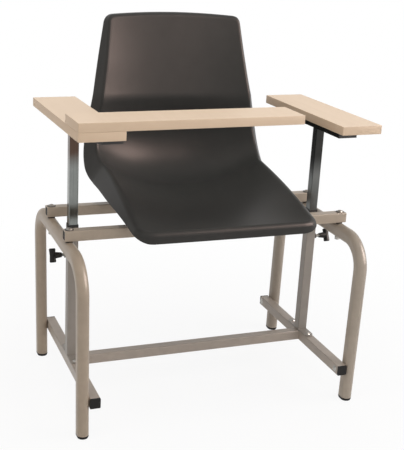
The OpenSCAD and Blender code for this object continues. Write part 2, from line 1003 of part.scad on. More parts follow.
// Normal at the edge, tilted part of the way with the dish
function edge_normal(k) =
  let (s = row_s(edge_loop[k][0]))
  let (j = edge_loop[k][1])
  let (side = j == 0 ? -1 : j == shell_cols ? 1 : 0)
  let (slope = dish_power * dish_at(s, wide_at(s)) / wide_at(s))
  let (tilt = rim_tilt_share * atan(slope))
  cos(tilt) * normal_at(middle_at(s)) - side * sin(tilt) * [1, 0, 0];
function edge_out(k) =
  let (ahead = grid_point((k + 1) % loop_n))
  let (behind = grid_point((k + loop_n - 1) % loop_n))
  unit(cross(ahead - behind, edge_normal(k)));

// Everything the rolled rim needs at one place of the loop
rim_data = [
  for (k = [0 : loop_n - 1])
    let (u = row_s(edge_loop[k][0]) / middle_len)
    let (out = edge_out(k))
    let (side = out[0] * out[0])
    let (front = u < 1 / 2)
    let (end_roll = front ? front_roll : back_roll)
    let (end_share = front ? front_edge_share : back_edge_share)
    let (roll = side_roll * side + end_roll * (1 - side))
    let (run = edge_depth * (share_at(edge_shares, u) * side + end_share * (1 - side)))
    let (side_bend = side_rim_r * share_at(rim_shares, u))
    let (bend = side_bend * side + rim_r * (1 - side))
    [grid_point(k), out, edge_normal(k), roll, run, bend]
];

// Point on the rim: turned by the roll so far, then straight down the edge
function rim_point(d, turned, run, depth) =
  let (face = sin(turned) * d[1] + cos(turned) * d[2])
  let (fall = cos(turned) * d[1] - sin(turned) * d[2])
  d[0] - d[5] * d[2] + (d[5] - depth) * face + run * fall;
function rim_ring(step, depth) = [
  for (d = rim_data)
    let (turned = d[3] * min(step, roll_steps) / roll_steps)
    let (run = d[4] * max(0, step - roll_steps) / edge_steps)
    rim_point(d, turned, run, depth)
];

// All points: upper grid, outer rings, inner rings, lower grid
ring_n = roll_steps + edge_steps;
grid_n = (shell_rows + 1) * (shell_cols + 1);
upper_points = [for (row = shell_grid) for (p = row) p];
lower_points = [
  for (i = [0 : shell_rows])
    let (down = shell_wall * normal_at(middle_at(row_s(i))))
    for (j = [0 : shell_cols])
      shell_grid[i][j] - down
];
outer_rings = [for (step = [1 : ring_n]) for (p = rim_ring(step, 0)) p];
inner_rings = [for (step = [ring_n : -1 : 1]) for (p = rim_ring(step, shell_wall)) p];
shell_points = concat(upper_points, outer_rings, inner_rings, lower_points);

// Point numbers: of a grid's place, and of place k on ring r, counted from the upper grid
function upper_index(c) = c[0] * (shell_cols + 1) + c[1];
function lower_index(c) = grid_n + 2 * ring_n * loop_n + upper_index(c);
function ring_index(r, k) =
  r == 0 ? upper_index(edge_loop[k % loop_n])
  : r == 2 * ring_n + 1 ? lower_index(edge_loop[k % loop_n])
  : grid_n + (r - 1) * loop_n + k % loop_n;
shell_faces = concat(
  [for (i = [0 : shell_rows - 1], j = [0 : shell_cols - 1])
    let (a = upper_index([i, j]))
    let (b = upper_index([i + 1, j]))
    each [[a, b + 1, a + 1], [a, b, b + 1]]],
  [for (i = [0 : shell_rows - 1], j = [0 : shell_cols - 1])
    let (a = lower_index([i, j]))
    let (b = lower_index([i + 1, j]))
    each [[a, a + 1, b + 1], [a, b + 1, b]]],
  [for (r = [0 : 2 * ring_n], k = [0 : loop_n - 1])
    let (a = ring_index(r, k))
    let (b = ring_index(r, k + 1))
    let (c = ring_index(r + 1, k + 1))
    let (d = ring_index(r + 1, k))
    each [[a, b, c], [a, c, d]]]
);

// One-piece moulded shell: pan, back and turned-down rim
module seat_shell() {
  place()
    color([0.235, 0.225, 0.215])
      polyhedron(shell_points, shell_faces);
}

// Middle of the chair's bounding box, behind the middle of the base
shell_ys = [for (p = shell_points) p[1]];
chair_front = min(leg_places[0] - leg_d / 2, min(shell_ys));
chair_back = max(leg_places[1] + leg_d / 2, max(shell_ys));
middle_y = (chair_back + chair_front) / 2;

// Underside of the pan over a rail, at x and y
function under_at(x, y) =
  let (s = (y + seat_front) / cos(pan_pitch))
  let (p = middle_at(s))
  p[1] + (dish_at(s, x) - shell_wall) * cos(pan_pitch);

// Spacers between rails and shell, each cut to the pan's slope and bored for an insert
module seat_spacers() {
  place()
    color([0.2, 0.19, 0.18])
      for (x = [-seat_screw_x, seat_screw_x], y = [-rail_front, rail_rear]) {
        z = under_at(x, y);
        slope_x = (under_at(x + probe, y) - z) / probe;
        slope_y = (under_at(x, y + probe) - z) / probe;
        tilt_y = -atan(slope_x);
        tilt_x = atan(slope_y * cos(tilt_y));
        difference() {
          translate([x, y, rail_top])
            cylinder(r = spacer_r, h = z - rail_top + spacer_r);
          translate([x, y, z - seat_gap])
            rotate([tilt_x, tilt_y, 0])
              translate([-2 * spacer_r, -2 * spacer_r, 0])
                cube([4 * spacer_r, 4 * spacer_r, 4 * spacer_r]);
          translate([x, y, rail_top - overrun])
            cylinder(r = seat_insert_r + touch_gap, h = seat_insert_len + overrun);
        }
      }
}

// Threaded inserts in the spacers
module seat_inserts() {
  place()
    color([0.75, 0.66, 0.42])
      for (x = [-seat_screw_x, seat_screw_x], y = [-rail_front, rail_rear])
        translate([x, y, rail_top])
          ring(seat_insert_r, seat_screw_r + thread_gap, seat_insert_len);
}

// Screws up through the rails into the inserts
module seat_screws() {
  place()
    color([0.75, 0.75, 0.74])
      for (x = [-seat_screw_x, seat_screw_x], y = [-rail_front, rail_rear])
        translate([x, y, rail_under])
          rotate([180, 0, 0])
            dome_bolt(seat_screw_r, seat_head_r, seat_head_h,
              tube_w + seat_insert_len - bolt_end);
}

end_frame_left();
end_frame_right();
leg_glides();
side_bar_left();
side_bar_right();
side_bar_caps();
cross_bar();
side_bolts();
side_nuts();
front_rail();
rear_rail();
rail_plugs();
saddle_washers();
rail_washers();
rail_bolts();
rail_nuts();
sleeve_left();
sleeve_right();
sleeve_bolts();
sleeve_nuts();
sleeve_collars();
clamp_nuts();
clamp_screw_left();
clamp_screw_right();
knob_left();
knob_right();
post_left();
post_right();
arm_tray_left();
arm_tray_right();
tray_screws_left();
tray_screws_right();
arm_board_left();
arm_board_right();
cross_board();
pivot_bolt();
pivot_washer();
pivot_insert();
seat_shell();
seat_spacers();
seat_inserts();
seat_screws();
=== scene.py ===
"""Blood-drawing chair: the looks of every piece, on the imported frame. Metres, Z up.

X runs to the right as seen from the front and Y to the back. Left and right are as seen from
the front.
"""

import bpy
import numpy as np
from mathutils import Matrix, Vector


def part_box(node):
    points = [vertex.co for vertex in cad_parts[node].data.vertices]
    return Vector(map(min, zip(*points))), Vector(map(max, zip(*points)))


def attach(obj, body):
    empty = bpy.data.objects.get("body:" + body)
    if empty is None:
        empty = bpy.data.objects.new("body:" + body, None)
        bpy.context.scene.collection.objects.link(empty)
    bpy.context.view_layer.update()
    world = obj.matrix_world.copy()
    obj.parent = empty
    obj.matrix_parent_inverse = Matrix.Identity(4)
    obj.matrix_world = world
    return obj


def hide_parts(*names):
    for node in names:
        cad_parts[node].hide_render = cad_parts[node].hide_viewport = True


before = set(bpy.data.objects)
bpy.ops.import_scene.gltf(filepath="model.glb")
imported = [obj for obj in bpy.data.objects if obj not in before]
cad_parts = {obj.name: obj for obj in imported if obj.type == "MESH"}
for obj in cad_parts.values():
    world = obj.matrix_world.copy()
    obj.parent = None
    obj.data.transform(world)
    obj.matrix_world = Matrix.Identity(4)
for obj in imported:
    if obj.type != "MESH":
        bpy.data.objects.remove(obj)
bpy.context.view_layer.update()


# Camera: a little above the arm boards, to the left of the chair and turned towards it, held
# slightly off level.
eye = np.array([-0.8484, -2.1451, 1.1767])
yaw, pitch, roll = 0.3837, -0.3159, 0.0569
picture_height, focal_pixels, sensor_mm = 450, 947.27, 36.0
nearest, farthest = 0.05, 60.0
ahead = np.array([np.sin(yaw) * np.cos(pitch), np.cos(yaw) * np.cos(pitch), np.sin(pitch)])
level = np.array([np.cos(yaw), -np.sin(yaw), 0.0])
upright = np.cross(level, ahead)
to_right = np.cos(roll) * level + np.sin(roll) * upright
to_top = np.cos(roll) * upright - np.sin(roll) * level
camera_data = bpy.data.cameras.new("camera")
camera_data.sensor_width = sensor_mm
camera_data.lens = sensor_mm * focal_pixels / picture_height
camera_data.clip_start, camera_data.clip_end = nearest, farthest
camera = bpy.data.objects.new("camera", camera_data)
axes = np.eye(4)
axes[:3, 0], axes[:3, 1], axes[:3, 2], axes[:3, 3] = to_right, to_top, -ahead, eye
camera.matrix_world = Matrix(axes.tolist())
bpy.context.scene.collection.objects.link(camera)
bpy.context.scene.camera = camera
bpy.context.scene.view_settings.view_transform = "Standard"


# Studio: a wide pale floor that keeps the chair's soft shadow, a white surround, and six soft
# panels of light. One of them gives only the shine on glossy surfaces, the others only soft light.
class Value:
    """One shader socket. An expression on values adds its Math nodes to the finish."""

    def __init__(self, finish, socket):
        self.finish, self.socket = finish, socket

    def sum_of(self, operation, first, second):
        return self.finish.add("ShaderNodeMath", {"operation": operation}, {0: first, 1: second})

    def __add__(self, other):
        return self.sum_of("ADD", self, other)

    def __mul__(self, other):
        return self.sum_of("MULTIPLY", self, other)

    def over(self, other):
        return self.sum_of("MAXIMUM", self, other)

    __radd__, __rmul__ = __add__, __mul__


class Finish:
    """A node tree that is filled from Python: add makes any node, the rest are short forms."""

    def __init__(self, owner, ending):
        owner.use_nodes = True
        self.tree = owner.node_tree
        self.tree.nodes.clear()
        self.end = self.tree.nodes.new(ending)

    def add(self, kind, settings=None, sockets=None, out=0):
        """A node of that type: settings first, then the values or links of its sockets."""
        node = self.tree.nodes.new(kind)
        for name, setting in (settings or {}).items():
            setattr(node, name, setting)
        for key, content in (sockets or {}).items():
            if isinstance(content, Value):
                self.tree.links.new(content.socket, node.inputs[key])
            else:
                node.inputs[key].default_value = content
        return Value(self, node.outputs[out])

    def close(self, surface):
        self.tree.links.new(surface.socket, self.end.inputs["Surface"])

    def blend(self, share, under, over):
        """Colour that goes from under to over as share goes from 0 to 1."""
        return self.add("ShaderNodeMix", {"data_type": "RGBA"}, {0: share, 6: under, 7: over}, 2)

    def seen(self):
        """1 for rays from the camera, from gloss and through glass, 0 for soft light."""
        rays = [self.add("ShaderNodeLightPath", out=name)
                for name in ("Is Camera Ray", "Is Glossy Ray", "Is Transmission Ray")]
        return rays[0].over(rays[1]).over(rays[2])


def put_mesh(name, points, faces, smooth=True):
    """Mesh object at the origin from points (n, 3) and faces, with its place in its points."""
    mesh = bpy.data.meshes.new(name)
    mesh.from_pydata(np.asarray(points, float).tolist(), [], faces)
    mesh.polygons.foreach_set("use_smooth", np.full(len(mesh.polygons), smooth))
    mesh.update()
    thing = bpy.data.objects.new(name, mesh)
    bpy.context.scene.collection.objects.link(thing)
    return thing


white, sky_colour = (1.0, 1.0, 1.0, 1.0), (0.98, 0.99, 1.0, 1.0)
sky_strength, white_strength = 0.3, 1.0
surround = bpy.data.worlds.new("surround")
bpy.context.scene.world = surround
air = Finish(surround, "ShaderNodeOutputWorld")
soft_sky = air.add("ShaderNodeBackground", None, {"Color": sky_colour, "Strength": sky_strength})
white_sky = air.add("ShaderNodeBackground", None, {"Color": white, "Strength": white_strength})
air.close(air.add("ShaderNodeMixShader", None, {0: air.seen(), 1: soft_sky, 2: white_sky}))

# Soft light meets matt paint. The camera sees mostly plain white, less of it under the chair, and
# nothing else from fade_to metres off the middle.
floor_colour = (0.88, 0.88, 0.88, 1.0)
floor_half, fade_from, fade_to, white_under_chair = 14.0, 0.3, 1.4, 0.9
floor = put_mesh("floor", [(-floor_half, -floor_half, 0), (floor_half, -floor_half, 0),
                           (floor_half, floor_half, 0), (-floor_half, floor_half, 0)],
                 [(0, 1, 2, 3)], smooth=False)
floor_paint = bpy.data.materials.new("pale_floor")
ground = Finish(floor_paint, "ShaderNodeOutputMaterial")
matt = ground.add("ShaderNodeBsdfDiffuse", None, {"Color": floor_colour})
bright = ground.add("ShaderNodeEmission", None, {"Color": white, "Strength": white_strength})
from_middle = ground.add("ShaderNodeVectorMath", {"operation": "LENGTH"},
                         {0: ground.add("ShaderNodeTexCoord", out="Object")}, "Value")
fade = ground.add("ShaderNodeMapRange", {"interpolation_type": "SMOOTHSTEP"},
                  {0: from_middle, 1: fade_from, 2: fade_to, 3: white_under_chair, 4: 1.0})
ground.close(ground.add("ShaderNodeMixShader", None,
                        {0: fade * ground.seen(), 1: matt, 2: bright}))
floor.data.materials.append(floor_paint)


def soft_panel(name, place, target, size, power, tint, for_shine=False):
    """Square area lamp of that size in metres at place, facing target. It gives either soft
    light alone or shine alone."""
    lamp = bpy.data.lights.new(name, "AREA")
    lamp.size, lamp.energy, lamp.color = size, power, tint
    thing = bpy.data.objects.new(name, lamp)
    back = np.array(place, float) - np.array(target, float)
    back /= np.linalg.norm(back)
    side = np.cross([0.0, 0.0, 1.0], back)
    side /= np.linalg.norm(side)
    turn = np.eye(4)
    turn[:3, 0], turn[:3, 1], turn[:3, 2] = side, np.cross(back, side), back
    turn[:3, 3] = place
    thing.matrix_world = Matrix(turn.tolist())
    thing.visible_glossy, thing.visible_diffuse = for_shine, not for_shine
    bpy.context.scene.collection.objects.link(thing)


soft_panel("key", (2.8, -1.2, 1.7), (0.0, 0.0, 0.7), 2.0, 42.0, (1.0, 0.955, 0.935))
soft_panel("overhead", (-0.3, -0.4, 3.1), (0.0, 0.05, 0.4), 2.2, 34.0, (1.0, 0.97, 0.93))
soft_panel("front_fill", (0.2, -3.2, 1.3), (0.0, 0.0, 0.6), 2.0, 13.0, (1.0, 0.97, 0.94))
soft_panel("left_fill", (-2.8, -0.9, 1.2), (0.0, 0.0, 0.6), 1.6, 11.0, (1.0, 0.94, 0.87))
soft_panel("shine", (2.5, -1.6, 1.95), (0.0, 0.0, 0.7), 2.1, 350.0, (1.0, 0.84, 0.77), True)
soft_panel("rear_fill", (1.6, 2.6, 1.8), (0.0, 0.1, 0.5), 1.8, 14.0, (0.97, 0.98, 1.0))


# End frames: flat-sided oval steel tube bent into a U, powder coated a warm taupe, each in a
# shade of its own. The coat has a fine orange peel, a faint mottle and small rubbed places.
def linear(red, green, blue):
    """Colour as a screen shows it, each from 0 to 1, turned into the shader's linear scale: a
    straight toe, then a power curve."""
    toe_end, toe_slope, lift, power = 0.04045, 12.92, 0.055, 2.4
    c = np.array([red, green, blue], float)
    c = np.where(c <= toe_end, c / toe_slope, ((c + lift) / (1 + lift)) ** power)
    return (*c.tolist(), 1.0)


class Skin(Finish):
    """Material of a piece, with patterns that lie still on the piece's own coordinates."""

    def __init__(self, name):
        self.material = bpy.data.materials.new(name)
        super().__init__(self.material, "ShaderNodeOutputMaterial")
        self.spot = self.add("ShaderNodeTexCoord", out="Object")

    def stretched(self, scale, turn=0.0):
        """Coordinates drawn out by scale along each axis, after a turn about Z."""
        return self.add("ShaderNodeMapping", {"vector_type": "POINT"},
                        {"Vector": self.spot, "Rotation": (0.0, 0.0, turn), "Scale": scale})

    def noise(self, per_metre, detail=3.0, rough=0.5, where=None):
        """Soft noise about one half, with that many waves to the metre."""
        return self.add("ShaderNodeTexNoise", None,
                        {"Vector": where or self.spot, "Scale": per_metre, "Detail": detail,
                         "Roughness": rough})

    def step(self, value, low, high, to_low=0.0, to_high=1.0):
        """Smooth climb from to_low to to_high while value goes from low to high."""
        return self.add("ShaderNodeMapRange", {"interpolation_type": "SMOOTHSTEP"},
                        {0: value, 1: low, 2: high, 3: to_low, 4: to_high})

    def bump(self, height, depth, strength=1.0):
        """Normal of a surface that rises by height times depth metres."""
        return self.add("ShaderNodeBump", None,
                        {"Strength": strength, "Distance": depth, "Height": height})

    def finish(self, **sockets):
        """Closes the material with one Principled shader. Its sockets are named with _ for
        space."""
        named = {name.replace("_", " "): content for name, content in sockets.items()}
        self.close(self.add("ShaderNodeBsdfPrincipled", None, named))
        return self.material


def wear(material, *names):
    """Puts the material on those CAD nodes in place of their own."""
    for name in names:
        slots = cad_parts[name].data.materials
        slots.clear()
        slots.append(material)


def powder_coat(name, colour, rubbed):
    """Powder coat: mottle of 12 cm and 2 cm, orange peel of 1 mm, rubbed specks of 4 mm."""
    skin = Skin(name)
    mottle = 0.6 * skin.noise(8.0) + 0.4 * skin.noise(55.0, 4.0)
    dark, light = (np.array(colour) * share for share in (0.9, 1.1))
    base = skin.blend(mottle, linear(*dark), linear(*light))
    specks = skin.step(skin.noise(240.0, 6.0, 0.7), 0.66, 0.74)
    base = skin.blend(0.25 * specks, base, linear(*rubbed))
    peel = skin.noise(900.0, 2.0)
    return skin.finish(Base_Color=base, Roughness=0.27 + 0.16 * mottle + 0.1 * specks,
                       Specular_IOR_Level=0.26, Normal=skin.bump(peel, 0.00012, 0.5))


rubbed_coat = (0.76, 0.73, 0.69)
wear(powder_coat("left_frame_coat", (0.664, 0.603, 0.536), rubbed_coat), "end_frame_left")
wear(powder_coat("right_frame_coat", (0.658, 0.612, 0.56), rubbed_coat), "end_frame_right")


# Feet: moulded black plastic cups on the leg ends, each held by a plug that goes up inside the
# tube.
def moulded_black(name, colour, gloss):
    """Moulded plastic: spark-eroded grain of 0.5 mm, soft dust in patches of 1 cm."""
    skin = Skin(name)
    grain = skin.noise(1900.0, 2.0)
    dust = skin.step(skin.noise(90.0, 5.0, 0.6), 0.45, 0.75)
    base = skin.blend(0.3 * dust, linear(*colour), linear(0.2, 0.19, 0.18))
    return skin.finish(Base_Color=base, Roughness=gloss + 0.15 * dust,
                       Specular_IOR_Level=0.22, Normal=skin.bump(grain, 0.00015, 0.6))


black_plastic = moulded_black("black_plastic", (0.09, 0.085, 0.083), 0.42)
wear(black_plastic, "leg_glides")


# Low base: two square side bars bolted inside the legs, a cross bar welded between them, and a
# black cap on each open end.
base_coat = powder_coat("base_coat", (0.675, 0.63, 0.588), rubbed_coat)
wear(base_coat, "side_bar_left", "side_bar_right", "cross_bar")
wear(black_plastic, "side_bar_caps")


# Leg bolts: zinc-plated steel bolts through the side bars into nuts inside the legs, with their
# domed heads on the bars' inner faces.
def plated(name, colour, rough, marks):
    """Plated steel: a blotchy sheen of 4 mm and fine drag marks that run round the part."""
    skin = Skin(name)
    cloud = skin.noise(260.0, 4.0)
    drag = skin.noise(2600.0, 3.0, where=skin.stretched((0.12, 0.12, 1.0)))
    dull, clear = (np.array(colour) * share for share in (0.86, 1.0))
    base = skin.blend(cloud, linear(*dull), linear(*clear))
    return skin.finish(Base_Color=base, Metallic=1.0, Roughness=rough + 0.16 * cloud + marks * drag,
                       Normal=skin.bump(drag, 0.00004, 0.5))


zinc = plated("zinc_plate", (0.7, 0.69, 0.67), 0.24, 0.08)
wear(zinc, "side_bolts", "side_nuts")


# Cross rails: square tubes over both end frames, each with a plug in either end. Shaped washers
# sit between rail and frame; domed bolts on dark washers hold them down.
tube_plug = moulded_black("tube_plug", (0.13, 0.12, 0.11), 0.6)
dark_steel = plated("dark_washer_steel", (0.34, 0.33, 0.32), 0.32, 0.1)
rail_coat = powder_coat("rail_coat", (0.708, 0.65, 0.585), rubbed_coat)
wear(rail_coat, "front_rail", "rear_rail")
wear(tube_plug, "rail_plugs")
wear(black_plastic, "saddle_washers")
wear(dark_steel, "rail_washers")
wear(zinc, "rail_nuts")
wear(plated("dull_zinc_plate", (0.6, 0.58, 0.55), 0.3, 0.08), "rail_bolts")


# Sleeves: upright square tubes on foot plates, coated a shade greyer, with domed bolts through
# the side bars and a black guide collar on each mouth.
grey_coat = powder_coat("sleeve_powder_coat", (0.6, 0.57, 0.54), (0.7, 0.68, 0.66))
wear(grey_coat, "sleeve_left", "sleeve_right")
wear(zinc, "sleeve_bolts", "sleeve_nuts")
wear(moulded_black("collar_plastic", (0.23, 0.225, 0.22), 0.45), "sleeve_collars")


# Clamps: a steel nut welded on each sleeve's outer face, a threaded stud that presses on the
# post, and a moulded black knob with a tee bar on the stud's end.
thread_pitch, thread_depth, thread_round, rings_a_turn = 0.00125, 0.0006, 40, 8
stud_finish = plated("stud_steel", (0.62, 0.62, 0.6), 0.3, 0.1)


def tube_faces(rings, around):
    """Quads between neighbouring closed rings of points, then a cap on each end."""
    r, k = np.meshgrid(np.arange(rings - 1), np.arange(around), indexing="ij")
    a, b = r * around + k, r * around + (k + 1) % around
    quads = np.stack([a, b, b + around, a + around], -1).reshape(-1, 4).tolist()
    first = list(range(around))[::-1]
    return quads + [first, [(rings - 1) * around + k for k in range(around)]]


def threaded_rod(name, start, end, radius):
    """Rod along X. Its radius falls by a triangle wave of the pitch that climbs once a turn,
    and by a 45 degree chamfer at both ends."""
    length = abs(end[0] - start[0])
    run = np.linspace(0.0, length, int(length / thread_pitch * rings_a_turn))
    angle = np.linspace(0.0, 2 * np.pi, thread_round, endpoint=False)
    s, t = np.meshgrid(run, angle, indexing="ij")
    wave = np.abs(((s / thread_pitch - t / (2 * np.pi)) % 1.0) * 2 - 1)
    shaped = radius - thread_depth * wave
    shaped = np.minimum(shaped, radius - 2 * thread_depth + np.minimum(s, length - s))
    ahead = np.sign(end[0] - start[0])
    rod = np.stack([start[0] + ahead * s, start[1] + ahead * shaped * np.cos(t),
                    start[2] + shaped * np.sin(t)], -1)
    return put_mesh(name, rod.reshape(-1, 3), tube_faces(len(run), thread_round))


for side, hand in ((-1, "left"), (1, "right")):
    low, high = (np.array(corner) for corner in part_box(f"clamp_screw_{hand}"))
    middle = (low + high) / 2
    inner, outer = (low[0], high[0]) if side > 0 else (high[0], low[0])
    stud = threaded_rod(f"clamp_stud_{hand}", (inner, middle[1], middle[2]),
                        (outer, middle[1], middle[2]), (high[2] - low[2]) / 2)
    stud.data.materials.append(stud_finish)
    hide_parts(f"clamp_screw_{hand}")
    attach(stud, f"{hand}_knob")
wear(dark_steel, "clamp_nuts")
wear(black_plastic, "knob_left", "knob_right")


# Posts: square chromed tubes that slide in the sleeves. The sleeves' guides leave fine marks
# along their length. Each post's colour also holds painted reflection: lengthwise light and dark
# streaks, and a darker top.
def drawn_chrome(name, colour, dull, reflection_from, reflection_full, rough):
    """Chrome on drawn tube: lengthwise streaks of 2 mm, clouding of 4 cm, faint guide marks, and
    a painted reflection on top: the colour turns to dull between the two given heights above
    the floor. The streaks in the colour are partly painted reflection."""
    skin = Skin(name)
    streak = skin.noise(420.0, 4.0, where=skin.stretched((1.0, 1.0, 0.012)))
    cloud = skin.noise(24.0, 3.0)
    marks = skin.step(skin.noise(1500.0, 3.0, 0.6, skin.stretched((1.0, 1.0, 0.01))), 0.6, 0.72)
    dark, light = (np.array(colour) * share for share in (0.62, 1.3))
    base = skin.blend(0.7 * streak + 0.3 * cloud, linear(*dark), linear(*light))
    height = skin.add("ShaderNodeSeparateXYZ", None, {0: skin.spot}, "Z")
    # Painted reflection: the top of the post is blended into the colour dull. It stands in for the
    # dark underside of the arm that the chrome mirrors there.
    painted_reflection = skin.step(height + 0.02 * cloud, reflection_from, reflection_full)
    base = skin.blend(0.88 * painted_reflection, base, linear(*dull))
    return skin.finish(Base_Color=base, Metallic=1.0,
                       Roughness=rough + 0.12 * cloud + 0.12 * marks + 0.08 * streak,
                       Normal=skin.bump(streak, 0.00006, 0.4))


# The two posts are the same chrome. Their different colours are painted reflection, each darkened
# to match what that post mirrors.
wear(drawn_chrome("left_post_chrome", (0.48, 0.49, 0.48), (0.3, 0.215, 0.165), 0.6, 0.645, 0.1),
     "post_left")
wear(drawn_chrome("right_post_chrome", (0.355, 0.363, 0.36), (0.15, 0.15, 0.145), 0.55, 0.61, 0.22),
     "post_right")


# Arm trays: sheet steel pressings in black enamel, welded on the posts. Four wood screws go up
# from each one into its board.
enamel = Skin("black_enamel")
ripple = enamel.noise(420.0, 3.0)
scuffs = enamel.step(enamel.noise(130.0, 6.0, 0.7), 0.6, 0.75)
black_enamel = enamel.finish(
    Base_Color=enamel.blend(0.3 * scuffs, linear(0.075, 0.073, 0.07), linear(0.22, 0.21, 0.2)),
    Roughness=0.34 + 0.2 * scuffs, Normal=enamel.bump(ripple, 0.0001, 0.5))
wear(black_enamel, "arm_tray_left", "arm_tray_right")
wear(zinc, "tray_screws_left", "tray_screws_right")


# Arm boards: pale laminate on particle board with edging of the same laminate, square at the
# corners, with just the sharpness taken off every edge.
post_x, post_y, arm_turn = 0.3246, -0.0100003, np.radians(2.2)
# Reach of a board from its post's middle: towards the sitter, away, ahead and behind.
board_inner, board_outer, board_ahead, board_behind = 0.0589, 0.0497, 0.2098, 0.1942
board_thick, left_under, arm_drop = 0.021, 0.702, 0.0038
edge_round, corner_round, edge_steps = 0.0007, 0.0018, 4


def plank(name, low, high, side):
    """Slab from low to high on the arm's own axes: a profile with rounded edges is carried
    round a rectangle with rounded corners, then turned and moved to its post."""
    quarter = np.linspace(0.0, np.pi / 2, edge_steps + 1)
    drop = edge_round * (1 - np.cos(quarter))
    inset = np.concatenate([[2 * edge_round], (edge_round - edge_round * np.sin(quarter)),
                            (edge_round - edge_round * np.sin(quarter))[::-1],
                            [2 * edge_round]])
    lift = np.concatenate([[0.0], drop, (high[2] - low[2]) - drop[::-1], [high[2] - low[2]]])
    angle = np.concatenate([quarter + start * np.pi / 2 for start in range(4)])
    centre = (np.array(low[:2]) + np.array(high[:2])) / 2
    reach = (np.array(high[:2]) - np.array(low[:2])) / 2 - corner_round
    signs = np.repeat([[1, 1], [-1, 1], [-1, -1], [1, -1]], edge_steps + 1, 0)
    radius = corner_round - inset[:, None]
    x = centre[0] + signs[:, 0] * reach[0] + radius * np.cos(angle)
    y = centre[1] + signs[:, 1] * reach[1] + radius * np.sin(angle)
    z = low[2] + lift[:, None] + 0 * x
    c, s = np.cos(arm_turn), np.sin(arm_turn)
    points = np.stack([side * post_x + c * x - s * y, post_y + s * x + c * y, z], -1)
    return put_mesh(name, points.reshape(-1, 3), tube_faces(len(inset), len(angle)))


def laminate(name, turn):
    """Pale laminate: faint grain drawn out along the board, a finer fleck, a satin press, and
    painted shade that darkens the upright sides.
    """
    skin = Skin(name)
    figure = skin.noise(60.0, 5.0, 0.6, skin.stretched((1.0, 0.05, 1.0), turn))
    fleck = skin.noise(900.0, 3.0, 0.6, skin.stretched((1.0, 0.12, 1.0), turn))
    wipe = skin.noise(7.0, 2.0)
    base = skin.blend(0.65 * figure + 0.35 * fleck, linear(0.885, 0.79, 0.69),
                      linear(0.935, 0.85, 0.755))
    upright = skin.add("ShaderNodeSeparateXYZ", None,
                       {0: skin.add("ShaderNodeTexCoord", out="Normal")}, "Z")
    # Painted shade: faces that stand upright get a darker colour than the top.
    painted_side_shade = skin.step(upright * upright, 0.2, 0.6, 1.0, 0.0)
    base = skin.blend(0.75 * painted_side_shade, base, linear(0.84, 0.735, 0.625))
    press = skin.noise(700.0, 2.0)
    return skin.finish(Base_Color=base, Roughness=0.4 + 0.12 * wipe + 0.06 * fleck,
                       Specular_IOR_Level=0.25, Normal=skin.bump(press, 0.00006, 0.4))


arm_laminate = laminate("arm_laminate", -arm_turn)
for side, hand in ((-1, "left"), (1, "right")):
    under = left_under - (arm_drop if side > 0 else 0.0)
    inner, outer = sorted((-side * board_inner, side * board_outer))
    board = plank(f"board_{hand}", (inner, -board_ahead, under),
                  (outer, board_behind, under + board_thick), side)
    board.data.materials.append(arm_laminate)
    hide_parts(f"arm_board_{hand}")
    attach(board, f"{hand}_arm")


# Swinging board: the same laminate board, laid across the front of the sitter, on a pivot bolt
# up through the left arm's tray and board into a brass insert.
cross_long, cross_wide, board_gap = 0.549, 0.105, 0.0003
cross_under = left_under + board_thick + board_gap
swing = plank("swinging_board", (-board_outer, -board_ahead, cross_under),
              (cross_long - board_outer, cross_wide - board_ahead, cross_under + board_thick), -1)
swing.data.materials.append(laminate("swing_laminate", np.pi / 2 - arm_turn))
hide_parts("cross_board")
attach(swing, "swing_board")
brass = plated("brass", (0.76, 0.66, 0.42), 0.28, 0.1)
wear(zinc, "pivot_bolt", "pivot_washer")
wear(brass, "pivot_insert")


# Seat shell: one moulding of dark plastic with a fine leather-like grain, dished at the hips,
# creased across the back, its rim rolled over and turned down all round.
mm = 0.001
# Side profile from the front: a straight pan, the hip arc, the low back, the crease and the high
# back. Pitch, lean and roll are in degrees.
seat_front, seat_height, row_middle = 214 * mm, 491.9 * mm, 11.6003 * mm
pan_run, pan_pitch, hip_r, low_back_run, low_back_lean = 333 * mm, 1.0, 115 * mm, 74.6 * mm, 103.0
crease_r, high_back_run, high_back_lean, top_crown = 30 * mm, 193 * mm, 81.4, 7.6 * mm
seat_half, dish_depth, edge_depth = 219.5 * mm, 64 * mm, 49.4 * mm
rim_r, side_rim_r, wall, lip_round = 12 * mm, 7 * mm, 4.5 * mm, 1.2 * mm
front_corner, back_corner, dish_power = 24 * mm, 10 * mm, 2.6
# Shares from the front to the top: of seat_half, dish_depth, edge_depth and side_rim_r.
half_shares = (0.971, 0.959, 0.961, 0.961, 0.996, 0.992, 0.922, 0.85, 0.796)
dish_shares = (0.01, 0.4, 0.71, 0.94, 1, 0.82, 0.43, 0.31, 0.18)
edge_shares = (0.055, 0.384, 0.73, 0.956, 1, 0.76, 0.68, 0.61, 0.35)
rim_shares = (2.9, 2.5, 1.8, 1.25, 1, 1, 1, 1, 1)
front_edge_share, back_edge_share, rim_tilt_share = 0.31, 0.24, 0.3
side_roll, front_roll, back_roll = 69.0, 100.0, 85.0
crown_power, row_crowding = 12, 0.75
shell_rows, shell_cols, roll_steps, down_steps, lip_steps = 150, 72, 12, 6, 3


def share_at(shares, u):
    """Smooth curve through evenly spaced shares, read at u from 0 to 1: each stretch is the
    cubic whose slopes are half the distance between its neighbours."""
    k = np.asarray(shares, float)
    k = np.concatenate([[2 * k[0] - k[1]], k, [2 * k[-1] - k[-2]]])
    x = np.clip(u, 0.0, 1.0) * (len(shares) - 1)
    i = np.minimum(x.astype(int), len(shares) - 2)
    f = x - i
    a, b, c, d = k[i], k[i + 1], k[i + 2], k[i + 3]
    return b + f * ((c - a) / 2 + f * ((2 * a - 5 * b + 4 * c - d) / 2
                                       + f * (3 * b - a - 3 * c + d) / 2))


